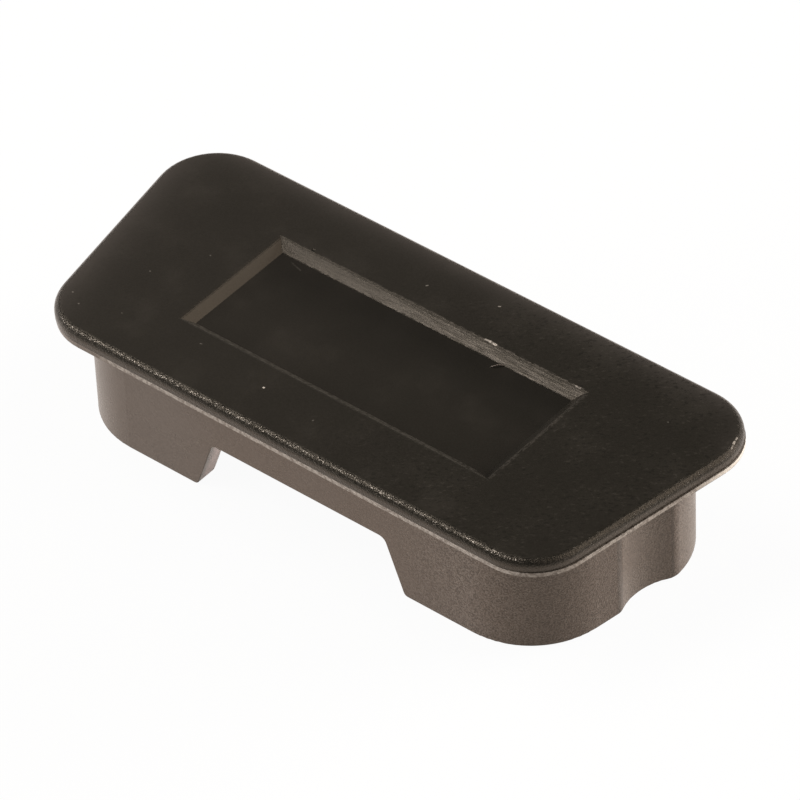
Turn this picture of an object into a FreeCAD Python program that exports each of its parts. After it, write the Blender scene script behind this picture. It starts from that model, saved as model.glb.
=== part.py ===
import FreeCAD, Part
import Sketcher
import math
import os

# Dust cap for the fifteen-way size of D-sub connector: one moulded piece of black plastic.
# A D-shaped skirt slips over the connector's metal shell, and a thin flange closes it on top.
# The origin is the middle of the skirt's mouth. +Z points up to the flange, +X runs along the cap,
# and +Y points to the wide side of the D. All lengths are in millimetres and angles in degrees.

SIZES = {
    # The D shape that the shell, the skirt and the flange share
    "end_slant": 10.0,
    # The metal shell that the cap covers: length at mid-depth, depth and corner radius, outside
    "shell_length": 25.29,
    "shell_depth": 9.2,
    "shell_corner": 2.66,
    "shell_clearance": 0.09,
    # The skirt round the shell
    "skirt_wall": 1.3,
    "inside_height": 4.95,
    "mouth_edge": 0.04,
    "mouth_lead_in": 0.3,
    # The upright grooves in the skirt's two ends, which pass the connector's jack posts
    "groove_radius": 3.0,
    "groove_bite": 0.423,
    "groove_forward": 0.15,
    "groove_front_round": 0.65,
    "groove_back_round": 0.98,
    # The notch in the front wall, a little off its middle
    "notch_width": 9.55,
    "notch_offset": 0.09,
    "notch_height": 2.79,
    "notch_slant": 20.0,
    "notch_corner": 0.4,
    "notch_foot": 0.25,
    # The flange that stands out all round on top
    "flange_over_ends": 0.95,
    "flange_over_sides": 0.86,
    "flange_corner": 2.83,
    "flange_edge": 0.8,
    "flange_round": 0.37,
    # The parting line round the flange's edge: the mould's lower half sits a little to the right
    "parting_height": 0.23,
    "parting_shift": 0.055,
    # The sunken label field in the flange, with sloping walls and a small bevel at the rim
    "recess_length": 17.0,
    "recess_width": 6.79,
    "recess_sink": 0.385,
    "recess_bevel": 0.49,
    "recess_floor": 0.945,
    "recess_rim": 0.05,
}

# Sizes that follow from the ones above, as expressions on the sheet
SLANT = "tan(Sizes.end_slant * 1 deg)"
SLANT_COS = "cos(Sizes.end_slant * 1 deg)"
INSIDE_LENGTH = f"(Sizes.shell_length + 2 * Sizes.shell_clearance / {SLANT_COS})"
INSIDE_DEPTH = "(Sizes.shell_depth + 2 * Sizes.shell_clearance)"
INSIDE_CORNER = "(Sizes.shell_corner + Sizes.shell_clearance)"
SKIRT_LENGTH = f"({INSIDE_LENGTH} + 2 * Sizes.skirt_wall / {SLANT_COS})"
SKIRT_DEPTH = f"({INSIDE_DEPTH} + 2 * Sizes.skirt_wall)"
SKIRT_CORNER = f"({INSIDE_CORNER} + Sizes.skirt_wall)"
FLANGE_LENGTH = f"({SKIRT_LENGTH} + 2 * Sizes.flange_over_ends)"
FLANGE_DEPTH = f"({SKIRT_DEPTH} + 2 * Sizes.flange_over_sides)"
TOP = "(Sizes.inside_height + Sizes.recess_floor + Sizes.recess_sink)"
FLANGE_UNDERSIDE = f"({TOP} - Sizes.flange_edge)"
PARTING_LINE = f"({FLANGE_UNDERSIDE} + Sizes.parting_height)"
GROOVE_CENTRE = f"({SKIRT_LENGTH} / 2 + Sizes.groove_radius - Sizes.groove_bite)"
NOTCH_FOOT_WIDTH = "(Sizes.notch_width + 2 * Sizes.notch_height * tan(Sizes.notch_slant * 1 deg))"

# How far two lengths may differ and still count as the same, in millimetres
NEAR = 1e-4

doc = FreeCAD.newDocument("dust_cap")

sheet = doc.addObject("Spreadsheet::Sheet", "Sizes")
for row, (alias, number) in enumerate(SIZES.items(), start=1):
    sheet.set(f"A{row}", alias)
    sheet.set(f"B{row}", str(number))
    sheet.setAlias(f"B{row}", alias)
doc.recompute()

body = doc.addObject("PartDesign::Body", "DustCap")
body.Label = "dust_cap"


def value(expression):
    """The number that an expression on the sheet comes to."""
    return float(sheet.evalExpression(expression))


def new_sketch(name, plane_role, offset, shift="0"):
    """An empty sketch on one of the body's own planes, moved along the plane's normal and along X."""
    plane = next(p for p in body.Origin.OriginFeatures if p.Role == plane_role)
    sketch = body.newObject("Sketcher::SketchObject", name)
    sketch.AttachmentSupport = (plane, [""])
    sketch.MapMode = "FlatFace"
    sketch.setExpression("AttachmentOffset.Base.x", shift)
    sketch.setExpression("AttachmentOffset.Base.z", offset)
    return sketch


def add_size(sketch, name, constraint, expression):
    """A named dimension of a sketch that follows an expression on the sheet."""
    index = sketch.addConstraint(constraint)
    sketch.renameConstraint(index, name)
    sketch.setExpression(f"Constraints.{name}", expression)


def arc(centre, radius, start, end):
    """A counter-clockwise arc between two angles."""
    return Part.ArcOfCircle(Part.Circle(centre, FreeCAD.Vector(0, 0, 1), radius), start, end)


def trapezoid(sketch, low_length, high_length, low_y, high_y):
    """Four lines, mirrored about the sketch's vertical axis, from a low edge to a high edge."""
    low_half = value(low_length) / 2
    high_half = value(high_length) / 2
    low = value(low_y)
    high = value(high_y)
    corners = [
        FreeCAD.Vector(-low_half, low, 0),
        FreeCAD.Vector(low_half, low, 0),
        FreeCAD.Vector(high_half, high, 0),
        FreeCAD.Vector(-high_half, high, 0),
    ]
    for index, corner in enumerate(corners):
        sketch.addGeometry(Part.LineSegment(corner, corners[(index + 1) % 4]))
    for index in range(4):
        sketch.addConstraint(Sketcher.Constraint("Coincident", index, 2, (index + 1) % 4, 1))
    sketch.addConstraint(Sketcher.Constraint("Symmetric", 0, 1, 0, 2, -2))
    sketch.addConstraint(Sketcher.Constraint("Symmetric", 2, 1, 2, 2, -2))
    add_size(sketch, "low_length", Sketcher.Constraint("DistanceX", 0, 1, 0, 2, 2 * low_half), low_length)
    add_size(sketch, "high_length", Sketcher.Constraint("DistanceX", 2, 2, 2, 1, 2 * high_half),
             high_length)
    add_size(sketch, "low_y", Sketcher.Constraint("DistanceY", -1, 1, 0, 1, low), low_y)
    add_size(sketch, "high_y", Sketcher.Constraint("DistanceY", -1, 1, 2, 1, high), high_y)


def d_sketch(name, height, length, depth, corner, shift="0"):
    """The D at a height: its length at mid-depth, its depth and the radius of its corners."""
    sketch = new_sketch(name, "XY_Plane", height, shift)
    radius = value(corner)
    half_length = value(length) / 2
    half_depth = value(depth) / 2
    slant = math.radians(value("Sizes.end_slant"))
    front = FreeCAD.Vector(0, radius - half_depth, 0)
    front.x = half_length + front.y * math.tan(slant) - radius / math.cos(slant)
    back = FreeCAD.Vector(0, half_depth - radius, 0)
    back.x = half_length + back.y * math.tan(slant) - radius / math.cos(slant)
    mirrored_front = FreeCAD.Vector(-front.x, front.y, 0)
    mirrored_back = FreeCAD.Vector(-back.x, back.y, 0)
    arcs = [
        arc(front, radius, -math.pi / 2, -slant),
        arc(back, radius, -slant, math.pi / 2),
        arc(mirrored_back, radius, math.pi / 2, math.pi + slant),
        arc(mirrored_front, radius, math.pi + slant, 1.5 * math.pi),
    ]
    # Lines and arcs alternate, from the front line round by the right end
    for index, corner_arc in enumerate(arcs):
        sketch.addGeometry(Part.LineSegment(arcs[index - 1].EndPoint, corner_arc.StartPoint))
        sketch.addGeometry(corner_arc)
    for index in range(8):
        sketch.addConstraint(Sketcher.Constraint("Tangent", index, 2, (index + 1) % 8, 1))
    sketch.addConstraint(Sketcher.Constraint("Symmetric", 0, 1, 0, 2, -2))
    sketch.addConstraint(Sketcher.Constraint("Symmetric", 4, 1, 4, 2, -2))
    for index in (3, 5, 7):
        sketch.addConstraint(Sketcher.Constraint("Equal", 1, index))
    add_size(sketch, "corner", Sketcher.Constraint("Radius", 1, radius), corner)
    add_size(sketch, "front", Sketcher.Constraint("DistanceY", 0, 1, -1, 1, half_depth), f"{depth} / 2")
    add_size(sketch, "back", Sketcher.Constraint("DistanceY", -1, 1, 4, 1, half_depth), f"{depth} / 2")
    add_size(sketch, "slant", Sketcher.Constraint("Angle", 2, math.pi / 2 - slant),
             "(90 - Sizes.end_slant) * 1 deg")
    # The length is held at mid-depth, where the right end line crosses the X axis
    middle = sketch.addGeometry(Part.Point(FreeCAD.Vector(half_length, 0, 0)), True)
    sketch.addConstraint(Sketcher.Constraint("PointOnObject", middle, 1, -1))
    sketch.addConstraint(Sketcher.Constraint("PointOnObject", middle, 1, 2))
    add_size(sketch, "length", Sketcher.Constraint("DistanceX", -1, 1, middle, 1, half_length),
             f"{length} / 2")
    return sketch


def pad(sketch, name, height):
    """The sketch raised to a solid, joined to the body."""
    feature = body.newObject("PartDesign::Pad", name)
    feature.Profile = sketch
    feature.setExpression("Length", height)
    doc.recompute()


def pocket(sketch, name, depth, reverse, taper=None):
    """The sketch cut out of the body, which has to lose volume by it."""
    before = body.Shape.Volume
    feature = body.newObject("PartDesign::Pocket", name)
    feature.Profile = sketch
    feature.Reversed = reverse
    feature.setExpression("Length", depth)
    if taper:
        feature.setExpression("TaperAngle", taper)
    doc.recompute()
    if not feature.Shape.Volume < before - NEAR:
        raise RuntimeError(f"{name} cut nothing")


def edge_feature(kind, name, chosen):
    """A feature on the edges of the body's latest one that the function picks."""
    base = body.Tip
    picked = [f"Edge{i}" for i, edge in enumerate(base.Shape.Edges, start=1) if chosen(edge)]
    feature = body.newObject(f"PartDesign::{kind}", name)
    feature.Base = (base, picked)
    return feature


def fillet(name, radius, chosen):
    """Rounds the picked edges."""
    edge_feature("Fillet", name, chosen).setExpression("Radius", radius)
    doc.recompute()


def chamfer(name, size, chosen):
    """Bevels the picked edges."""
    edge_feature("Chamfer", name, chosen).setExpression("Size", size)
    doc.recompute()


def near(a, b):
    return abs(a - b) < NEAR


def spans(edge, low, high):
    """Whether an edge stands upright between two heights."""
    box = edge.BoundBox
    upright = near(box.XLength, 0) and near(box.YLength, 0)
    return upright and near(box.ZMin, value(low)) and near(box.ZMax, value(high))


def lies_at(edge, height):
    """Whether an edge lies level at a height."""
    box = edge.BoundBox
    return near(box.ZMin, value(height)) and near(box.ZMax, value(height))


def runs_through_wall(edge, height):
    """Whether a level edge runs straight from the front to the back of a wall."""
    box = edge.BoundBox
    return near(box.XLength, 0) and box.YLength > NEAR and lies_at(edge, height)


def is_behind(edge, depth):
    """Whether an edge lies on the back face of a D of that depth."""
    return near(edge.BoundBox.YMin, value(depth) / 2)


def is_round_recess(edge):
    """Whether a level edge of the top bounds the label field."""
    box = edge.BoundBox
    reach_x = max(abs(box.XMin), abs(box.XMax))
    reach_y = max(abs(box.YMin), abs(box.YMax))
    within_length = reach_x < value("Sizes.recess_length") / 2 + NEAR
    within_width = reach_y < value("Sizes.recess_width") / 2 + NEAR
    return lies_at(edge, TOP) and within_length and within_width


# The flange above the parting line, with a rounded top edge
upper_sketch = d_sketch("FlangeUpperOutline", PARTING_LINE, FLANGE_LENGTH, FLANGE_DEPTH,
                        "Sizes.flange_corner")
pad(upper_sketch, "FlangeUpper", f"{TOP} - {PARTING_LINE}")
fillet("FlangeTopEdge", "Sizes.flange_round", lambda edge: lies_at(edge, TOP))

# The flange below the parting line, which leaves a small ledge at its right end
lower_sketch = d_sketch("FlangeLowerOutline", FLANGE_UNDERSIDE, FLANGE_LENGTH, FLANGE_DEPTH,
                        "Sizes.flange_corner", "Sizes.parting_shift")
pad(lower_sketch, "FlangeLower", "Sizes.parting_height")

# The skirt, solid at first
skirt_sketch = d_sketch("SkirtOutline", "0", SKIRT_LENGTH, SKIRT_DEPTH, SKIRT_CORNER)
pad(skirt_sketch, "Skirt", FLANGE_UNDERSIDE)

# The label field, narrower at its floor
recess_sketch = new_sketch("RecessOutline", "XY_Plane", TOP)
trapezoid(recess_sketch, "Sizes.recess_length", "Sizes.recess_length",
          "-Sizes.recess_width / 2", "Sizes.recess_width / 2")
pocket(recess_sketch, "Recess", "Sizes.recess_sink", reverse=False,
       taper="-atan(Sizes.recess_bevel / Sizes.recess_sink)")
chamfer("RecessRim", "Sizes.recess_rim", is_round_recess)

# The jack post grooves, with softened edges
groove_sketch = new_sketch("GrooveCircles", "XY_Plane", "0")
for side in (-1, 1):
    centre = FreeCAD.Vector(side * value(GROOVE_CENTRE), -value("Sizes.groove_forward"), 0)
    up = FreeCAD.Vector(0, 0, 1)
    groove_sketch.addGeometry(Part.Circle(centre, up, value("Sizes.groove_radius")))
groove_sketch.addConstraint(Sketcher.Constraint("Symmetric", 0, 3, 1, 3, -2))
groove_sketch.addConstraint(Sketcher.Constraint("Equal", 0, 1))
add_size(groove_sketch, "radius", Sketcher.Constraint("Radius", 0, value("Sizes.groove_radius")),
         "Sizes.groove_radius")
add_size(groove_sketch, "spacing", Sketcher.Constraint("DistanceX", 0, 3, 1, 3, 2 * value(GROOVE_CENTRE)),
         f"2 * {GROOVE_CENTRE}")
add_size(groove_sketch, "forward",
         Sketcher.Constraint("DistanceY", 0, 3, -1, 1, value("Sizes.groove_forward")),
         "Sizes.groove_forward")
pocket(groove_sketch, "Grooves", FLANGE_UNDERSIDE, reverse=True)


def is_groove_edge(edge, in_front):
    """Whether an upright edge lies on the wall of a groove, in front of its post or behind it."""
    middle = edge.BoundBox.Center
    post = FreeCAD.Vector(value(GROOVE_CENTRE), -value("Sizes.groove_forward"), 0)
    from_post = FreeCAD.Vector(abs(middle.x), middle.y, 0) - post
    on_wall = spans(edge, "0", FLANGE_UNDERSIDE) and near(from_post.Length, value("Sizes.groove_radius"))
    return on_wall and (from_post.y < 0) == in_front


fillet("GrooveFrontEdges", "Sizes.groove_front_round", lambda edge: is_groove_edge(edge, True))
fillet("GrooveBackEdges", "Sizes.groove_back_round", lambda edge: is_groove_edge(edge, False))

# The inside, open at the mouth
inside_sketch = d_sketch("InsideOutline", "0", INSIDE_LENGTH, INSIDE_DEPTH, INSIDE_CORNER)
pocket(inside_sketch, "Inside", "Sizes.inside_height", reverse=True)

# The notch in the front wall, wider at the mouth
notch_sketch = new_sketch("NotchOutline", "XZ_Plane", f"{SKIRT_DEPTH} / 2", "Sizes.notch_offset")
trapezoid(notch_sketch, NOTCH_FOOT_WIDTH, "Sizes.notch_width", "0", "Sizes.notch_height")
pocket(notch_sketch, "Notch", f"{SKIRT_DEPTH} / 2", reverse=False)
fillet("NotchCorners", "Sizes.notch_corner", lambda edge: runs_through_wall(edge, "Sizes.notch_height"))
fillet("NotchFeet", "Sizes.notch_foot", lambda edge: runs_through_wall(edge, "0"))

# The mouth's inner edge, rounded to lead the shell in, and its outer edge, softened.
# Both roundings run on from the back edge round the notch.
fillet("MouthLeadIn", "Sizes.mouth_lead_in",
       lambda edge: lies_at(edge, "0") and is_behind(edge, INSIDE_DEPTH))
fillet("MouthEdge", "Sizes.mouth_edge",
       lambda edge: lies_at(edge, "0") and is_behind(edge, SKIRT_DEPTH))

# Every object of the document is sound, and the cap is one whole solid
for item in doc.Objects:
    if "Invalid" in item.State or "Error" in item.State:
        raise RuntimeError(f"{item.Name} failed")
if body.Shape.isNull() or not body.Shape.isValid() or len(body.Shape.Solids) != 1:
    raise RuntimeError("the cap is not one valid solid")

os.makedirs("parts", exist_ok=True)
body.Shape.exportStep(f"parts/{body.Label}.step")
print("volume", round(body.Shape.Volume, 2), "box", body.Shape.BoundBox)
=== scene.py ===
"""Looks of a D-sub dust cap: one moulded piece of black plastic on a white table."""

import math
from typing import NamedTuple

import bpy
from mathutils import Matrix, Vector


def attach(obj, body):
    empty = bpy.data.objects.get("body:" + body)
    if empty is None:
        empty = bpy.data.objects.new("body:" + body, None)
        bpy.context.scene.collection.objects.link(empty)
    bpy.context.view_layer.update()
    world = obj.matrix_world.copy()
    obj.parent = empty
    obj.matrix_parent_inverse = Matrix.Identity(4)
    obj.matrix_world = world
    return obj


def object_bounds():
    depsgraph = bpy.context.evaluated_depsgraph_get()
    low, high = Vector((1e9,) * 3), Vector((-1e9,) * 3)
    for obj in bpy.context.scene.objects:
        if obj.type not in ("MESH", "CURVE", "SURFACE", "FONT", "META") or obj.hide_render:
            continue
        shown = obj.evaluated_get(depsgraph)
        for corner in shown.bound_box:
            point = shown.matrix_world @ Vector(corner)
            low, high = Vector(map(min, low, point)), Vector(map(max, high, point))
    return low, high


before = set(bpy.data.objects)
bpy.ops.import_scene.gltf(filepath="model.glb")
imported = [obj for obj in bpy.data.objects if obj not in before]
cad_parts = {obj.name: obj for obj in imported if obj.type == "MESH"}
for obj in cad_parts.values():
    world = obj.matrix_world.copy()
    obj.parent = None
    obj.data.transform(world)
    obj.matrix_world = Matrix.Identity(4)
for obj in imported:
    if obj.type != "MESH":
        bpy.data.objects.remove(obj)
cad_low, cad_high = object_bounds()

MILLIMETRE = 0.001


class Lamp(NamedTuple):
    """A lamp: the way to it, its distance and sides in metres, watts, colour, and whether gloss shows it."""
    towards: tuple
    distance: float
    sides: tuple
    watts: float
    colour: tuple
    in_gloss: bool = True


class Noise(NamedTuple):
    """A noise: its grain in millimetres, its detail, how far it is stretched, and its turn in degrees."""
    grain: float
    detail: float
    stretch: float = 1.0
    turn: float = 0.0


class Layer(NamedTuple):
    """A colour over a region: its share, or its least and greatest share over a part of a noise's range."""
    region: str
    colour: tuple
    share: float = 1.0
    least: float = 0.0
    noise: str = ""
    start: float = 0.0
    end: float = 1.0


class Bump(NamedTuple):
    """Relief over a region: its height in millimetres, and the noise that it follows, if any."""
    region: str
    height: float
    noise: str = ""


class Mark(NamedTuple):
    """A speck, chip or scratch: from where to where, how wide, in millimetres, and how strong."""
    start: tuple
    end: tuple
    width: float
    strength: float = 1.0


# The photograph's camera: how it is turned, its scale, and where the top's middle falls in the picture
IMAGE_SIDE = 800
SENSOR_WIDTH = 36.0
CAMERA_AZIMUTH = 41.0
CAMERA_ELEVATION = 41.89
CAMERA_ROLL = 2.64
FOCAL_PIXELS = 6290.0
PIXELS_PER_METRE = 23385.0
TOP_MIDDLE_PIXEL = Vector((381.6, 354.9))
NEAREST_SEEN = 0.01
FARTHEST_SEEN = 100.0

# The table: its side in metres, and how much of its whiteness is its own glow, which lightens the shadow
FLOOR_SIDE = 6.0
FLOOR_COLOUR = (0.95, 0.95, 0.95, 1.0)
FLOOR_GLOW_SEEN = 0.95
FLOOR_GLOW_REFLECTED = 0.92
FLOOR_TINT_SEEN = (1.0, 1.0, 1.0, 1.0)
FLOOR_TINT_REFLECTED = (1.0, 0.92, 0.86, 1.0)

# The light: an even room and four soft lamps. The two low ones only soften the shade on the skirt.
ROOM_COLOUR = (1.0, 1.0, 1.0, 1.0)
ROOM_STRENGTH = 0.12
LAMPS = {
    "key_lamp": Lamp((-0.49, -0.15, 0.86), 0.4, (0.26, 0.13), 0.74, (1.0, 0.94, 0.86)),
    "back_lamp": Lamp((0.58, 0.48, 0.66), 0.5, (0.4, 0.4), 0.75, (1.0, 0.86, 0.72)),
    "low_left_lamp": Lamp((-0.77, -0.62, 0.14), 0.6, (0.4, 0.14), 4.5, (1.0, 0.985, 0.98), in_gloss=False),
    "low_right_lamp": Lamp((0.5, 0.85, 0.14), 0.6, (0.4, 0.14), 7.8, (1.0, 0.97, 0.93), in_gloss=False),
}

# Sizes of the cap, in millimetres and degrees
FLANGE_DEPTH = 0.8
LIP_HEIGHT = 0.23
LABEL_LENGTH = 17.0
LABEL_WIDTH = 6.79
LABEL_SINK = 0.385
TOP_LENGTH = 30.0
END_ANGLE = 10.0
NOTCH_MIDDLE = 0.09
NOTCH_ROOF_WIDTH = 9.55
NOTCH_FOOT_WIDTH = 11.58
NOTCH_HEIGHT = 2.79
FRONT_WALL_OUTSIDE = -5.99
FRONT_WALL_INSIDE = -4.69

# Places on the cap, in millimetres
TOP = cad_high.z / MILLIMETRE
TOP_BACK = cad_high.y / MILLIMETRE
UNDERSIDE = TOP - FLANGE_DEPTH
PARTING_LINE = UNDERSIDE + LIP_HEIGHT
LABEL_FLOOR = TOP - LABEL_SINK
LABEL_END = LABEL_LENGTH / 2
LABEL_SIDE = LABEL_WIDTH / 2
END_SLANT = math.tan(math.radians(END_ANGLE))

# Where the flange's regions set in, in millimetres: nought at the first place and whole at the second
BELOW_TOP = (TOP - 0.0105, TOP - 0.025)
BELOW_PARTING_LINE = (PARTING_LINE + 0.005, PARTING_LINE - 0.005)
ON_EDGE_CREST = (TOP - 0.11, TOP - 0.07)
ON_EDGE_SIDE = (TOP - 0.2, TOP - 0.35)
AT_FRONT_EDGE = (-6.25, -6.5)
PAST_LEFT_CORNER = (-14.2, -13.0)
AT_RIGHT_EDGE = (12.5, 14.5)
BEFORE_BACK_CORNER = (5.0, 4.2)

# The same for the label field's floor, walls and rims
WITHIN_LABEL_ENDS = (LABEL_END + 0.1, LABEL_END + 0.02)
WITHIN_LABEL_SIDES = (LABEL_SIDE + 0.1, LABEL_SIDE + 0.02)
ABOVE_LABEL_FLOOR = (LABEL_FLOOR + 0.001, LABEL_FLOOR + 0.02)
ON_LABEL_FLOOR = (LABEL_FLOOR + 0.02, LABEL_FLOOR + 0.001)
TOWARDS_BACK_WALL = (-2.0, 2.9)
PAST_MITRE = (0.0, 0.02)
IN_BACK_HALF = (0.0, 0.1)
IN_FRONT_HALF = (0.0, -0.1)
DOWN_BACK_WALL = (TOP - 0.05, LABEL_FLOOR)
UNDER_BACK_RIM = (TOP - 0.03, TOP - 0.06)
OVER_BITTEN_FOOT = (LABEL_FLOOR + 0.01, LABEL_FLOOR + 0.035)
TOWARDS_TORN_END = (-5.0, 4.0)
ON_LABEL_RIM = (TOP - 0.07, TOP - 0.05)
ON_BACK_RIM = (TOP - 0.1, TOP - 0.04)
WITHIN_BACK_RIM = (LABEL_END + 0.06, LABEL_END + 0.03)
WITHIN_TORN_RIM = (LABEL_END, LABEL_END - 0.2)
WITHIN_RAGGED_RIM = (LABEL_SIDE, LABEL_SIDE - 0.2)
AT_RIGHT_RIM = (LABEL_END - 0.1, LABEL_END)

# The same for the painted glare and the creases on the top
TOWARDS_LEFT_END = (12.0, -15.0)
TOWARDS_CREASED_END = (-4.0, 9.0)
IN_BACK_RIGHT_CORNER = (3.0, 5.5)

# The same for the skirt, its lip, its notch and the groove in its right end
BELOW_UNDERSIDE = (UNDERSIDE, UNDERSIDE - 0.05)
TOWARDS_LIT_SKIRT = (-2.0, -8.0)
TOWARDS_GRAINY_SKIRT = (4.0, 10.0)
PAST_BARE_LIP = (-10.4, -9.4)
AT_LIP_END = (14.2, 15.2)
TOWARDS_LIP_BACK = (1.5, 4.0)
BELOW_NOTCH_ROOF = (NOTCH_HEIGHT + 0.05, NOTCH_HEIGHT)
BEHIND_NOTCH_FRONT = (FRONT_WALL_OUTSIDE + 0.02, FRONT_WALL_OUTSIDE + 0.7)
BEFORE_NOTCH_BACK = (FRONT_WALL_INSIDE - 0.02, FRONT_WALL_INSIDE - 0.1)
AT_RIGHT_END = (12.8, 13.2)
BEHIND_GROOVE_FRONT = (-1.03, -0.95)
BEFORE_GROOVE_BACK = (1.8, 1.4)
BEHIND_GROOVE_BACK = (1.84, 2.1)

# Bands on the cap, in millimetres: from where to where, and how soft their edges are
UPPER_SHADE = (TOP - 0.23, TOP - 0.19, 0.04)
LOWER_SHADE = (PARTING_LINE, TOP - 0.5, 0.03)
BACK_RIM = (LABEL_SIDE - 0.05, LABEL_SIDE + 0.05, 0.01)
TORN_RIM = (LABEL_SIDE + 0.03, LABEL_SIDE + 0.09, 0.04)
RAGGED_RIM = (LABEL_END + 0.02, LABEL_END + 0.1, 0.05)
LIP = (UNDERSIDE + 0.02, PARTING_LINE, 0.01)
NOTCH_SIDE = (NOTCH_ROOF_WIDTH / 2, NOTCH_FOOT_WIDTH / 2, 0.05)
# Bands of painted shade along the groove's two edges
GROOVE_FRONT_EDGE = (-1.4, -1.08, 0.07)
GROOVE_BACK_EDGE = (1.74, 1.82, 0.07)

# Grain and mottling. The creases run aslant, and the streaks and shreds along the label field's back wall.
NOISES = {
    "fine": Noise(0.07, 3.0),
    "coarse": Noise(0.16, 2.0),
    "clouds": Noise(2.2, 4.0),
    "glints": Noise(0.065, 1.0),
    "streaks": Noise(0.09, 3.0, stretch=12.0),
    "shreds": Noise(0.09, 2.0, stretch=3.0),
    "creases": Noise(0.13, 2.0, stretch=1.8, turn=41.0),
}
NOISE_MIDDLE = (0.3, 0.7)
FIBRES = Noise(0.05, 2.0)

# How far the top's edge wanders and the back wall's foot is bitten, either way, in millimetres
EDGE_WANDER = 0.01
FOOT_BITE = 0.03

# Painted glare on the top: its shares from right to left, and those of a mottle that follows the fine grain
TOP_GLARE = (-0.015, 0.08)
FINE_MOTTLE = (0.0, 0.07)

# Painted glare along the top's edges: the depth that it fades over, in millimetres, and its share
BACK_GLARE_DEPTH = 0.5
BACK_GLARE = 1.0
LEFT_GLARE_DEPTH = 0.75
LEFT_GLARE = 0.9
RIGHT_GLARE_DEPTH = 0.6
RIGHT_GLARE = 0.6

# Creases on the top: how they grow along it, and the part of the clouds' range over which they gather
CREASED_LENGTH = (0.2, 1.0)
CREASED_CLOUDS = (0.35, 0.6)
CREASED_GATHERING = (0.3, 1.0)

# Wear and painted light on the label field's back wall: towards its foot, under its rim, towards its torn
# end, and in streaks
BACK_WALL_WEAR_AND_LIGHT = (0.26, 0.47)
BACK_RIM_WEAR_AND_LIGHT = (0.3, 1.0)
TORN_LENGTH = (0.3, 1.0)
EVEN_STREAKS = 0.5
STREAK_RANGE = (0.32, 0.68)
STREAK_WEAR = (0.12, 0.92)

# Grain on the skirt: how it grows along it, and its shares where it is smooth and where it is grainy
GRAINY_LENGTH = (0.2, 1.0)
SMOOTH_GRAIN = (0.04, 0.08)
ROUGH_GRAIN_RANGE = (0.42, 0.62)
ROUGH_GRAIN = (0.0, 0.2)

# How the lip's wear and painted light grow along it
LIP_LENGTH = (0.2, 1.0)

# The plastic's colours: its polished skin and its matt one, and what wear, pits, painted light and painted
# shade turn them to
POLISHED = (0.0128, 0.0112, 0.0084, 1.0)
MATT = (0.062, 0.041, 0.03, 1.0)
# A lighter colour for painted glare and painted light, and for a fine mottle on the top
GLARE_AND_MOTTLE = (0.08, 0.07, 0.064, 1.0)
# Pale wear, also painted as light on the label's rims and back wall, the right end, its groove and the lip
WORN_AND_LIT = (0.27, 0.237, 0.208, 1.0)
# Pale specks and chips, also painted as highlights: glints on the front edge, the label's front wall, the
# lip's back end
PALE_AND_HIGHLIGHT = (0.6, 0.54, 0.48, 1.0)
# Painted light on the notch's left side
PAINTED_NOTCH_LIGHT = (0.8, 0.6, 0.56, 1.0)
WARM = (0.12, 0.045, 0.01, 1.0)
# A pit's near black, also painted as shade on the label floor, along the right edge and along the groove's
# edges
PIT_AND_SHADE = (0.002, 0.002, 0.0015, 1.0)

# Colours over the polished plastic, over the matt, and over both, one on another
POLISHED_LAYERS = (
    # Painted glare: the top lighter towards its left end and along its edges
    Layer("glare_and_mottle_top", GLARE_AND_MOTTLE),
    Layer("glare_edges", GLARE_AND_MOTTLE),
    Layer("creased", PIT_AND_SHADE, 0.55, noise="creases", start=0.42, end=0.34),
    Layer("creased", WORN_AND_LIT, 0.055, noise="creases", start=0.6, end=0.72),
    # Painted highlight with wear: pale lines along the label field's right rim
    Layer("ragged_lit_rim", WORN_AND_LIT, 0.1, noise="coarse", start=0.4, end=0.6),
    Layer("lit_right_rim", WORN_AND_LIT, 0.2, least=0.02, noise="coarse", start=0.4, end=0.65),
    Layer("skin", WORN_AND_LIT, 0.02, noise="clouds", start=0.5, end=0.8),
    # Painted shade: the label floor darker towards its back wall
    Layer("shaded_floor", PIT_AND_SHADE, 0.36),
    # Painted highlight: the label field's front wall a little paler
    Layer("lit_front_wall", PALE_AND_HIGHLIGHT, 0.04, noise="coarse", start=0.35, end=0.65),
    Layer("edge_side", WARM, 0.06),
    # Painted highlight with grain on the right edge's band, and under it two bands of painted shade
    Layer("right_edge", WORN_AND_LIT, 0.12, least=0.02, noise="fine", start=0.3, end=0.7),
    Layer("upper_shade", PIT_AND_SHADE, 0.3),
    Layer("lower_shade", PIT_AND_SHADE, 0.4),
    # Painted highlight: pale glints on the front edge's crest
    Layer("front_edge", PALE_AND_HIGHLIGHT, 0.8, noise="glints", start=0.57, end=0.7),
    # Wear and painted light: the back wall paler, most towards its foot
    Layer("worn_and_lit_back_wall", WORN_AND_LIT),
    Layer("torn_rim", WORN_AND_LIT, 0.22, noise="shreds", start=0.45, end=0.6),
)
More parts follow.
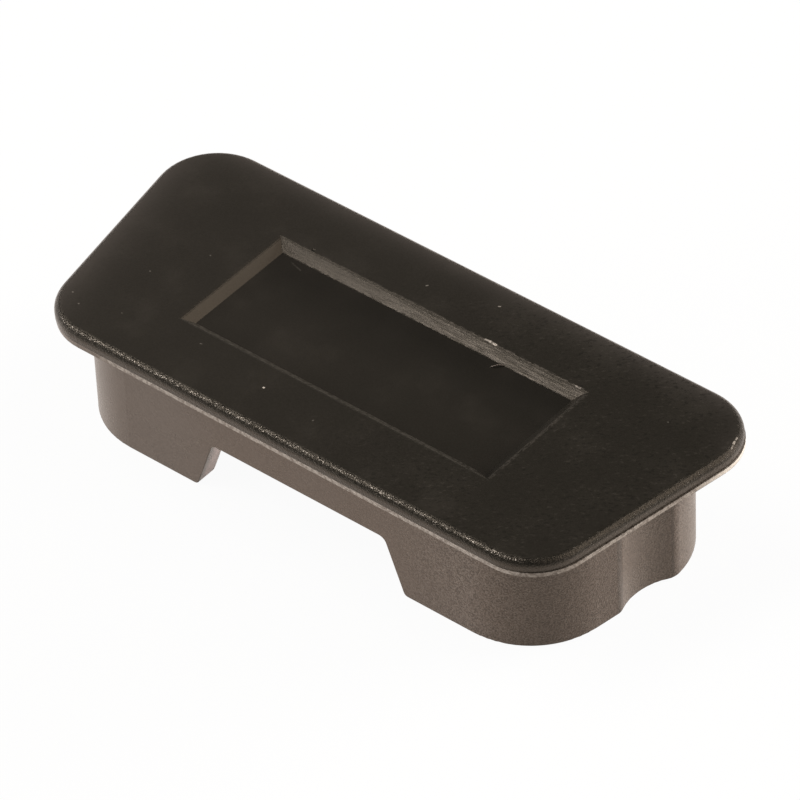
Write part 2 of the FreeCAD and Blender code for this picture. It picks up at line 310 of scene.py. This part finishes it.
MATT_LAYERS = (
    # Painted light: the skirt lighter towards its left end
    Layer("lit_left_skirt", GLARE_AND_MOTTLE, 0.3),
    Layer("skirt_grain", WORN_AND_LIT),
    Layer("grainy_skirt", PIT_AND_SHADE, 0.45, noise="fine", start=0.52, end=0.38),
    # Painted light: the groove and the end behind it paler
    Layer("lit_right_groove", WORN_AND_LIT, 0.09),
    Layer("lit_right_back", WORN_AND_LIT, 0.08),
    # Painted shade: dark lines along the groove's two edges
    Layer("shaded_groove_edges", PIT_AND_SHADE, 0.36),
    # Wear and painted light: the lip pale along the parting line, and its back end a painted highlight
    Layer("lip", WORN_AND_LIT, 0.95, least=0.3, noise="coarse", start=0.35, end=0.62),
    Layer("lit_lip_back", PALE_AND_HIGHLIGHT, 0.85),
    # Painted light: the notch's left side pale as if lit
    Layer("lit_notch_side", PAINTED_NOTCH_LIGHT),
)
MARK_LAYERS = (
    Layer("marks", PALE_AND_HIGHLIGHT),
    Layer("pit", PIT_AND_SHADE),
)

# Roughness: the polished skin's, what regions have instead, and how far clouds vary it, either way
POLISHED_ROUGHNESS = 0.34
ROUGHNESS = {
    "matt": 0.28,
    "flange_edge": 0.18,
    "label_rim": 0.42,
    "back_rim": 0.52,
}
ROUGHNESS_CLOUDS = (0.2, 0.8)
CLOUDY_ROUGHNESS = 0.04

# Relief. The back rim is lowered by half its grain's height, so that it has no step along it.
RIM_GRAIN = 0.018
BUMPS = (
    Bump("skin", 0.004, "fine"),
    Bump("flange_edge", 0.028, "fine"),
    Bump("flange_edge", 0.02, "coarse"),
    Bump("matt", 0.006, "coarse"),
    Bump("matt", 0.002, "fine"),
    Bump("grainy_matt", 0.018, "fine"),
    Bump("torn_back_wall", 0.01, "streaks"),
    Bump("label_rim", RIM_GRAIN, "coarse"),
    Bump("back_wall_rim", -RIM_GRAIN / 2),
    Bump("marks", 0.01),
    Bump("pit", -0.02),
)

# The plastic's gloss: its refractive index and its tint
PLASTIC_IOR = 1.5
PLASTIC_GLOSS_TINT = (1.0, 0.89, 0.76, 1.0)

# Specks, chips and scratches that show pale, how grain breaks them up, and one dark pit
MARKS = (
    Mark((-1.32, 4.66, TOP), (-1.28, 4.72, TOP), 0.05, 0.25),
    Mark((2.04, 5.48, TOP), (2.1, 5.52, TOP), 0.05, 0.4),
    Mark((-2.69, -4.65, TOP), (-2.67, -4.65, TOP), 0.065, 1.0),
    Mark((-12.62, -5.31, TOP), (-12.6, -5.31, TOP), 0.05, 0.25),
    Mark((-13.33, -4.89, TOP), (-13.31, -4.89, TOP), 0.05, 0.22),
    Mark((-11.55, -1.82, TOP), (-11.53, -1.82, TOP), 0.05, 0.14),
    Mark((-10.71, -4.65, TOP), (-10.69, -4.65, TOP), 0.045, 0.12),
    Mark((-10.13, 0.56, TOP), (-10.11, 0.56, TOP), 0.04, 0.2),
    Mark((12.36, 3.97, TOP), (12.38, 3.97, TOP), 0.05, 0.12),
    Mark((-6.68, -4.12, TOP), (-6.62, -4.1, TOP), 0.04, 0.3),
    Mark((0.32, -5.0, TOP), (0.34, -4.96, TOP), 0.04, 0.15),
    Mark((2.9, 3.46, TOP), (3.15, 3.48, TOP), 0.06, 0.6),
    Mark((3.15, 3.48, TOP), (3.5, 3.45, TOP), 0.08, 0.8),
    Mark((7.85, 3.44, TOP), (8.1, 3.43, TOP), 0.055, 0.5),
    Mark((15.26, 4.97, TOP), (15.3, 4.84, TOP), 0.055, 0.9),
    Mark((15.33, 4.71, TOP), (15.37, 4.57, TOP - 0.01), 0.065, 0.9),
    Mark((15.42, 4.46, TOP - 0.02), (15.48, 4.29, TOP - 0.03), 0.05, 0.35),
    Mark((-7.28, 2.66, LABEL_FLOOR), (-6.63, 2.49, LABEL_FLOOR), 0.05, 0.06),
)
MARK_GRAIN_RANGE = (0.35, 0.5)
MARK_GRAIN = (0.3, 1.0)
PIT_MARK = Mark((-6.77, 3.52, TOP), (-6.72, 3.52, TOP), 0.09)

# The share of a mark's width that is whole
MARK_CORE = 1 / 3

# A whisker of plastic on the label field, from the foot of the back wall: points and radii in millimetres
WHISKER = (
    ((4.34, 2.91, 5.93), 0.03),
    ((4.2, 2.8, 5.97), 0.028),
    ((4.08, 2.66, 5.96), 0.024),
    ((3.93, 2.5, 5.91), 0.012),
)
WHISKER_ROUNDNESS = 2
FIBRE_RANGE = (0.35, 0.65)
FIBRE_ROUGHNESS = (0.4, 0.6)
FIBRE_HEIGHT = 0.01

# Where a Mix node has its share, its two numbers and its two colours, and the colour that comes out
MIX_SHARE = 0
MIX_FIRST_NUMBER = 2
MIX_SECOND_NUMBER = 3
MIX_FIRST_COLOUR = 6
MIX_SECOND_COLOUR = 7
MIX_COLOUR_OUT = 2


def place_camera():
    """Puts the camera where the photograph was taken from."""
    azimuth = math.radians(CAMERA_AZIMUTH)
    elevation = math.radians(CAMERA_ELEVATION)
    roll = math.radians(CAMERA_ROLL)
    back = Vector((
        math.sin(azimuth) * math.cos(elevation),
        -math.cos(azimuth) * math.cos(elevation),
        math.sin(elevation),
    ))
    level = Vector((math.cos(azimuth), math.sin(azimuth), 0))
    upright = back.cross(level)
    right = level * math.cos(roll) - upright * math.sin(roll)
    up = level * math.sin(roll) + upright * math.cos(roll)
    distance = FOCAL_PIXELS / PIXELS_PER_METRE
    offset = (TOP_MIDDLE_PIXEL - Vector((IMAGE_SIDE / 2, IMAGE_SIDE / 2))) / PIXELS_PER_METRE
    top_middle = Vector((0, 0, cad_high.z))
    place = top_middle + back * distance - right * offset.x + up * offset.y

    data = bpy.data.cameras.new("camera")
    data.sensor_width = SENSOR_WIDTH
    data.lens = SENSOR_WIDTH * FOCAL_PIXELS / IMAGE_SIDE
    data.clip_start = NEAREST_SEEN
    data.clip_end = FARTHEST_SEEN
    camera = bpy.data.objects.new("camera", data)
    facing = Matrix((right, up, back)).transposed()
    camera.matrix_world = Matrix.Translation(place) @ facing.to_4x4()
    bpy.context.scene.collection.objects.link(camera)
    bpy.context.scene.camera = camera


class Shader:
    """A material's nodes, added by short calls. A value is a number, a tuple or another node's output."""

    def __init__(self, name):
        self.material = bpy.data.materials.new(name)
        self.material.use_nodes = True
        self.tree = self.material.node_tree
        self.tree.nodes.clear()

    def node(self, kind, values, **settings):
        """A node with its settings, and values for its inputs by name or number."""
        node = self.tree.nodes.new(f"ShaderNode{kind}")
        for name, setting in settings.items():
            setattr(node, name, setting)
        for key, value in values.items():
            if isinstance(value, bpy.types.NodeSocket):
                self.tree.links.new(value, node.inputs[key])
            else:
                node.inputs[key].default_value = value
        return node

    def millimetres(self):
        """The place on the object, in millimetres."""
        place = self.node("TexCoord", {}).outputs["Object"]
        return self.node("VectorMath", {0: place, "Scale": 1 / MILLIMETRE}, operation="SCALE").outputs[0]

    def math(self, operation, *values):
        """A sum, product or other function of numbers."""
        return self.node("Math", dict(enumerate(values)), operation=operation).outputs[0]

    def product(self, *values):
        """All the values multiplied."""
        result = values[0]
        for value in values[1:]:
            result = self.math("MULTIPLY", result, value)
        return result

    def total(self, *values):
        """All the values added."""
        result = values[0]
        for value in values[1:]:
            result = self.math("ADD", result, value)
        return result

    def outside(self, region):
        """One where a region is nought, and nought where it is one."""
        return self.math("SUBTRACT", 1.0, region)

    def step(self, value, start, end, low=0.0, high=1.0):
        """Eases from low at start to high at end."""
        values = {"Value": value, "From Min": start, "From Max": end, "To Min": low, "To Max": high}
        return self.node("MapRange", values, interpolation_type="SMOOTHSTEP").outputs[0]

    def band(self, value, start, end, edge):
        """One between start and end, easing to nought beyond them."""
        return self.math("MINIMUM", self.step(value, start - edge, start), self.step(value, end + edge, end))

    def fade(self, distance, depth):
        """One at an edge, and less and less with the distance from it."""
        return self.math("EXPONENT", self.product(distance, -1 / depth))

    def noise(self, place, noise):
        """The values of a noise over a place in millimetres."""
        if noise.turn:
            turn = {"Vector": place, "Rotation": (0.0, 0.0, math.radians(noise.turn))}
            place = self.node("Mapping", turn, vector_type="TEXTURE").outputs[0]
        scale = (1 / (noise.grain * noise.stretch), 1 / noise.grain, 1 / noise.grain)
        place = self.node("VectorMath", {0: place, 1: scale}, operation="MULTIPLY").outputs[0]
        return self.node("TexNoise", {"Vector": place, "Scale": 1.0, "Detail": noise.detail}).outputs[0]

    def mark(self, place, mark):
        """One near the line between a mark's two ends, easing to nought beyond its width."""
        start = Vector(mark.start)
        along = Vector(mark.end) - start
        offset = self.node("VectorMath", {0: place, 1: start}, operation="SUBTRACT").outputs[0]
        reach = self.node("VectorMath", {0: offset, 1: along}, operation="DOT_PRODUCT").outputs["Value"]
        values = {0: reach, 1: 1 / along.length_squared}
        share = self.node("Math", values, operation="MULTIPLY", use_clamp=True).outputs[0]
        nearest = self.node("VectorMath", {0: along, "Scale": share}, operation="SCALE").outputs[0]
        distance = self.node("VectorMath", {0: offset, 1: nearest}, operation="DISTANCE").outputs["Value"]
        return self.step(distance, mark.width, mark.width * MARK_CORE)

    def between(self, share, first, second):
        """A number between two."""
        values = {MIX_SHARE: share, MIX_FIRST_NUMBER: first, MIX_SECOND_NUMBER: second}
        return self.node("Mix", values, data_type="FLOAT").outputs[0]

    def blend(self, share, first, second):
        """A colour between two."""
        values = {MIX_SHARE: share, MIX_FIRST_COLOUR: first, MIX_SECOND_COLOUR: second}
        return self.node("Mix", values, data_type="RGBA").outputs[MIX_COLOUR_OUT]

    def finish(self, surface):
        """Gives the material its surface."""
        self.node("OutputMaterial", {"Surface": surface})
        return self.material


class CapSkin(Shader):
    """The cap's plastic, with its noises and regions by name. A region is one within and nought outside."""

    def __init__(self, name):
        super().__init__(name)
        self.place = self.millimetres()
        self.x, self.y, self.z = self.node("SeparateXYZ", {0: self.place}).outputs
        self.from_middle_x = self.math("ABSOLUTE", self.x)
        self.from_middle_y = self.math("ABSOLUTE", self.y)
        self.noises = {kind: self.noise(self.place, noise) for kind, noise in NOISES.items()}
        self.regions = {"skin": 1.0}
        self.find_flange()
        self.find_label()
        self.find_back_wall()
        self.find_top_glare()
        self.find_skirt()
        self.find_right_end()
        self.find_marks()

    def find_flange(self):
        """The matt skin below the parting line, the label field's place, and the flange's polished edge,
        with its painted glints, highlight and shade.
        """
        on = self.regions
        wander = self.step(self.noises["coarse"], *NOISE_MIDDLE, -EDGE_WANDER, EDGE_WANDER)
        on["below_top"] = self.step(self.total(self.z, wander), *BELOW_TOP)
        on["matt"] = self.step(self.z, *BELOW_PARTING_LINE)
        on["label"] = self.math(
            "MINIMUM",
            self.step(self.from_middle_x, *WITHIN_LABEL_ENDS),
            self.step(self.from_middle_y, *WITHIN_LABEL_SIDES),
        )
        on["around_label"] = self.outside(on["label"])
        on["flange_edge"] = self.product(on["below_top"], on["around_label"], self.outside(on["matt"]))
        on["edge_side"] = self.product(on["flange_edge"], self.step(self.z, *ON_EDGE_SIDE))
        # The front edge's crest, where glints are painted
        on["front_edge"] = self.product(
            on["flange_edge"],
            self.step(self.y, *AT_FRONT_EDGE),
            self.step(self.x, *PAST_LEFT_CORNER),
            self.step(self.z, *ON_EDGE_CREST),
        )
        # The right edge, where a highlight and shade are painted
        on["right_edge"] = self.product(
            on["flange_edge"],
            self.step(self.x, *AT_RIGHT_EDGE),
            self.step(self.y, *BEFORE_BACK_CORNER),
        )
        on["upper_shade"] = self.product(on["right_edge"], self.band(self.z, *UPPER_SHADE))
        on["lower_shade"] = self.product(on["right_edge"], self.band(self.z, *LOWER_SHADE))

    def find_label(self):
        """The label field's floor, its mitred walls and their rims, with painted highlights on the rims and
        front wall and painted shade on the floor.
        """
        on = self.regions
        wall = self.product(on["below_top"], on["label"], self.step(self.z, *ABOVE_LABEL_FLOOR))
        past_side = self.math("SUBTRACT", self.from_middle_y, LABEL_SIDE)
        past_end = self.math("SUBTRACT", self.from_middle_x, LABEL_END)
        long_wall = self.product(wall, self.step(self.math("SUBTRACT", past_side, past_end), *PAST_MITRE))
        on["lit_front_wall"] = self.product(long_wall, self.step(self.y, *IN_FRONT_HALF))
        on["back_wall"] = self.product(long_wall, self.step(self.y, *IN_BACK_HALF))
        on["label_rim"] = self.product(wall, self.step(self.z, *ON_LABEL_RIM))
        on["back_wall_rim"] = self.product(on["label_rim"], on["back_wall"])
        on["lit_right_rim"] = self.product(on["label_rim"], self.step(self.x, *AT_RIGHT_RIM))
        on["back_rim"] = self.product(
            self.band(self.y, *BACK_RIM),
            self.step(self.from_middle_x, *WITHIN_BACK_RIM),
            self.step(self.z, *ON_BACK_RIM),
        )
        on["ragged_lit_rim"] = self.product(
            self.band(self.x, *RAGGED_RIM),
            self.step(self.from_middle_y, *WITHIN_RAGGED_RIM),
        )
        # The label floor towards its back wall, where shade is painted
        on["shaded_floor"] = self.product(
            on["label"],
            self.step(self.z, *ON_LABEL_FLOOR),
            self.step(self.y, *TOWARDS_BACK_WALL),
        )

    def find_back_wall(self):
        """The wear and painted light on the label field's back wall: streaked, torn along its rim and bitten
        at its foot.
        """
        on = self.regions
        torn = self.step(self.x, *TOWARDS_TORN_END, *TORN_LENGTH)
        streaks = self.step(self.noises["streaks"], *STREAK_RANGE, *STREAK_WEAR)
        bite = self.step(self.noises["shreds"], *NOISE_MIDDLE, -FOOT_BITE, FOOT_BITE)
        on["worn_and_lit_back_wall"] = self.product(
            on["back_wall"],
            self.step(self.z, *DOWN_BACK_WALL, *BACK_WALL_WEAR_AND_LIGHT),
            self.between(torn, EVEN_STREAKS, streaks),
            self.step(self.total(self.z, bite), *OVER_BITTEN_FOOT),
            self.step(self.z, *UNDER_BACK_RIM, *BACK_RIM_WEAR_AND_LIGHT),
        )
        on["torn_back_wall"] = self.product(on["back_wall"], torn)
        on["torn_rim"] = self.product(
            self.band(self.y, *TORN_RIM),
            self.step(self.from_middle_x, *WITHIN_TORN_RIM),
            torn,
        )

    def find_top_glare(self):
        """The painted glare on the top, more to the left and along the edges, its mottle, and the part with
        creases.
        """
        on = self.regions
        on["glare_and_mottle_top"] = self.total(
            self.step(self.x, *TOWARDS_LEFT_END, *TOP_GLARE),
            self.step(self.noises["fine"], *NOISE_MIDDLE, *FINE_MOTTLE),
        )
        slant = self.product(self.y, END_SLANT)
        from_back = self.math("SUBTRACT", TOP_BACK, self.y)
        from_left = self.total(self.x, TOP_LENGTH / 2, slant)
        from_right = self.total(self.math("SUBTRACT", TOP_LENGTH / 2, self.x), slant)
        at_corner = self.step(self.y, *IN_BACK_RIGHT_CORNER)
        on["glare_edges"] = self.total(
            self.product(self.fade(from_back, BACK_GLARE_DEPTH), BACK_GLARE),
            self.product(self.fade(from_left, LEFT_GLARE_DEPTH), LEFT_GLARE),
            self.product(self.fade(from_right, RIGHT_GLARE_DEPTH), at_corner, RIGHT_GLARE),
        )
        on["creased"] = self.product(
            on["around_label"],
            self.step(self.x, *TOWARDS_CREASED_END, *CREASED_LENGTH),
            self.step(self.noises["clouds"], *CREASED_CLOUDS, *CREASED_GATHERING),
        )

    def find_skirt(self):
        """The skirt's painted light towards its left and its grain, the lip over it, and the left side of
        the notch in it, both with painted light.
        """
        on = self.regions
        on["lit_left_skirt"] = self.step(self.x, *TOWARDS_LIT_SKIRT)
        on["grainy_skirt"] = self.step(self.x, *TOWARDS_GRAINY_SKIRT, *GRAINY_LENGTH)
        on["grainy_matt"] = self.product(on["matt"], on["grainy_skirt"])
        on["skirt_grain"] = self.between(
            on["grainy_skirt"],
            self.step(self.noises["clouds"], *NOISE_MIDDLE, *SMOOTH_GRAIN),
            self.step(self.noises["fine"], *ROUGH_GRAIN_RANGE, *ROUGH_GRAIN),
        )
        on["lip"] = self.product(self.band(self.z, *LIP), self.step(self.x, *PAST_BARE_LIP, *LIP_LENGTH))
        on["lit_lip_back"] = self.product(
            on["lip"],
            self.step(self.x, *AT_LIP_END),
            self.step(self.y, *TOWARDS_LIP_BACK),
        )
        # The notch's left side, where light is painted
        on["lit_notch_side"] = self.product(
            self.band(self.math("SUBTRACT", NOTCH_MIDDLE, self.x), *NOTCH_SIDE),
            self.step(self.z, *BELOW_NOTCH_ROOF),
            self.step(self.y, *BEHIND_NOTCH_FRONT),
            self.step(self.y, *BEFORE_NOTCH_BACK),
        )

    def find_right_end(self):
        """The groove in the skirt's right end and the end behind it, with painted light, and painted shade
        along the groove's two edges.
        """
        on = self.regions
        right_end = self.product(self.step(self.x, *AT_RIGHT_END), self.step(self.z, *BELOW_UNDERSIDE))
        on["lit_right_groove"] = self.product(
            right_end,
            self.step(self.y, *BEHIND_GROOVE_FRONT),
            self.step(self.y, *BEFORE_GROOVE_BACK),
        )
        on["lit_right_back"] = self.product(right_end, self.step(self.y, *BEHIND_GROOVE_BACK))
        front_edge = self.band(self.y, *GROOVE_FRONT_EDGE)
        back_edge = self.band(self.y, *GROOVE_BACK_EDGE)
        on["shaded_groove_edges"] = self.product(right_end, self.math("MAXIMUM", front_edge, back_edge))

    def find_marks(self):
        """The pale marks and the dark pit."""
        on = self.regions
        marks = 0.0
        for mark in MARKS:
            marks = self.math("MAXIMUM", marks, self.product(self.mark(self.place, mark), mark.strength))
        grain = self.step(self.noises["coarse"], *MARK_GRAIN_RANGE, *MARK_GRAIN)
        on["marks"] = self.product(marks, grain)
        on["pit"] = self.mark(self.place, PIT_MARK)

    def paint(self, colour, layers):
        """A colour with layers over it, one on another."""
        for layer in layers:
            share = layer.share
            if layer.noise:
                share = self.step(self.noises[layer.noise], layer.start, layer.end, layer.least, layer.share)
            colour = self.blend(self.product(self.regions[layer.region], share), colour, layer.colour)
        return colour

    def relief(self, bumps):
        """The height of all the bumps together, in millimetres."""
        heights = []
        for bump in bumps:
            height = bump.height
            if bump.noise:
                height = self.product(self.noises[bump.noise], bump.height)
            heights.append(self.product(self.regions[bump.region], height))
        return self.total(*heights)


def white_table():
    """White, with a glow of its own where the camera or a reflection sees it."""
    shader = Shader("white_table")
    path = shader.node("LightPath", {}).outputs
    seen = shader.math("MAXIMUM", path["Is Camera Ray"], path["Is Transmission Ray"])
    share = shader.math(
        "MAXIMUM",
        shader.product(seen, FLOOR_GLOW_SEEN),
        shader.product(path["Is Glossy Ray"], FLOOR_GLOW_REFLECTED),
    )
    diffuse = shader.node("BsdfDiffuse", {"Color": FLOOR_COLOUR}).outputs[0]
    tint = shader.blend(path["Is Glossy Ray"], FLOOR_TINT_SEEN, FLOOR_TINT_REFLECTED)
    glow = shader.node("Emission", {"Color": tint}).outputs[0]
    return shader.finish(shader.node("MixShader", {0: share, 1: diffuse, 2: glow}).outputs[0])


def black_plastic():
    """Moulded plastic, polished above the parting line and matt below it, with grain, wear, and painted
    light and shade.
    """
    skin = CapSkin("black_plastic")
    polished = skin.paint(POLISHED, POLISHED_LAYERS)
    matt = skin.paint(MATT, MATT_LAYERS)
    colour = skin.paint(skin.blend(skin.regions["matt"], polished, matt), MARK_LAYERS)
    roughness = POLISHED_ROUGHNESS
    for region, region_roughness in ROUGHNESS.items():
        roughness = skin.between(skin.regions[region], roughness, region_roughness)
    clouds = skin.step(skin.noises["clouds"], *ROUGHNESS_CLOUDS, -CLOUDY_ROUGHNESS, CLOUDY_ROUGHNESS)
    bump = skin.node("Bump", {"Height": skin.relief(BUMPS), "Distance": MILLIMETRE}).outputs[0]
    surface = skin.node("BsdfPrincipled", {
        "Base Color": colour,
        "Roughness": skin.total(roughness, clouds),
        "Normal": bump,
        "IOR": PLASTIC_IOR,
        "Specular Tint": PLASTIC_GLOSS_TINT,
    })
    return skin.finish(surface.outputs[0])


def worn_plastic():
    """The plastic's torn fibres, paler than its skin."""
    shader = Shader("worn_plastic")
    fibres = shader.noise(shader.millimetres(), FIBRES)
    height = shader.product(fibres, FIBRE_HEIGHT)
    bump = shader.node("Bump", {"Height": height, "Distance": MILLIMETRE}).outputs[0]
    surface = shader.node("BsdfPrincipled", {
        "Base Color": shader.blend(shader.step(fibres, *FIBRE_RANGE), MATT, WORN_AND_LIT),
        "Roughness": shader.step(fibres, *NOISE_MIDDLE, *FIBRE_ROUGHNESS),
        "Normal": bump,
        "IOR": PLASTIC_IOR,
    })
    return shader.finish(surface.outputs[0])


def dress_cap():
    """Gives the cap its plastic."""
    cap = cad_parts["dust_cap"]
    cap.data.materials.clear()
    cap.data.materials.append(black_plastic())


def make_whisker():
    """The whisker on the label field, as a round thread that thins to its tip."""
    curve = bpy.data.curves.new("whisker", "CURVE")
    curve.dimensions = "3D"
    curve.bevel_depth = MILLIMETRE
    curve.bevel_resolution = WHISKER_ROUNDNESS
    curve.use_fill_caps = True
    thread = curve.splines.new("BEZIER")
    thread.bezier_points.add(len(WHISKER) - 1)
    for point, (place, radius) in zip(thread.bezier_points, WHISKER):
        point.co = Vector(place) * MILLIMETRE
        point.radius = radius
        point.handle_left_type = "AUTO"
        point.handle_right_type = "AUTO"
    drawn = bpy.data.objects.new("whisker_curve", curve)
    bpy.context.scene.collection.objects.link(drawn)
    mesh = bpy.data.meshes.new_from_object(drawn.evaluated_get(bpy.context.evaluated_depsgraph_get()))
    bpy.data.objects.remove(drawn)
    mesh.name = "whisker"
    mesh.materials.clear()
    mesh.materials.append(worn_plastic())
    mesh.shade_smooth()
    whisker = bpy.data.objects.new("whisker", mesh)
    bpy.context.scene.collection.objects.link(whisker)
    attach(whisker, "root")


def make_floor():
    """The table that the cap stands on."""
    bpy.ops.mesh.primitive_plane_add(size=FLOOR_SIDE)
    floor = bpy.context.object
    floor.name = "floor"
    floor.data.materials.append(white_table())


def make_lamp(name, lamp):
    """A soft rectangular lamp that faces the cap."""
    data = bpy.data.lights.new(name, "AREA")
    data.shape = "RECTANGLE"
    data.size, data.size_y = lamp.sides
    data.energy = lamp.watts
    data.color = lamp.colour
    towards = Vector(lamp.towards)
    placed = bpy.data.objects.new(name, data)
    placed.location = towards.normalized() * lamp.distance
    placed.rotation_euler = towards.to_track_quat("Z", "Y").to_euler()
    placed.visible_glossy = lamp.in_gloss
    bpy.context.scene.collection.objects.link(placed)


def make_light():
    """The room and its lamps."""
    world = bpy.data.worlds.new("room")
    world.use_nodes = True
    background = world.node_tree.nodes["Background"]
    background.inputs["Color"].default_value = ROOM_COLOUR
    background.inputs["Strength"].default_value = ROOM_STRENGTH
    bpy.context.scene.world = world
    for name, lamp in LAMPS.items():
        make_lamp(name, lamp)


place_camera()
make_floor()
make_light()
dress_cap()
make_whisker()

bpy.context.scene.view_settings.view_transform = "Standard"
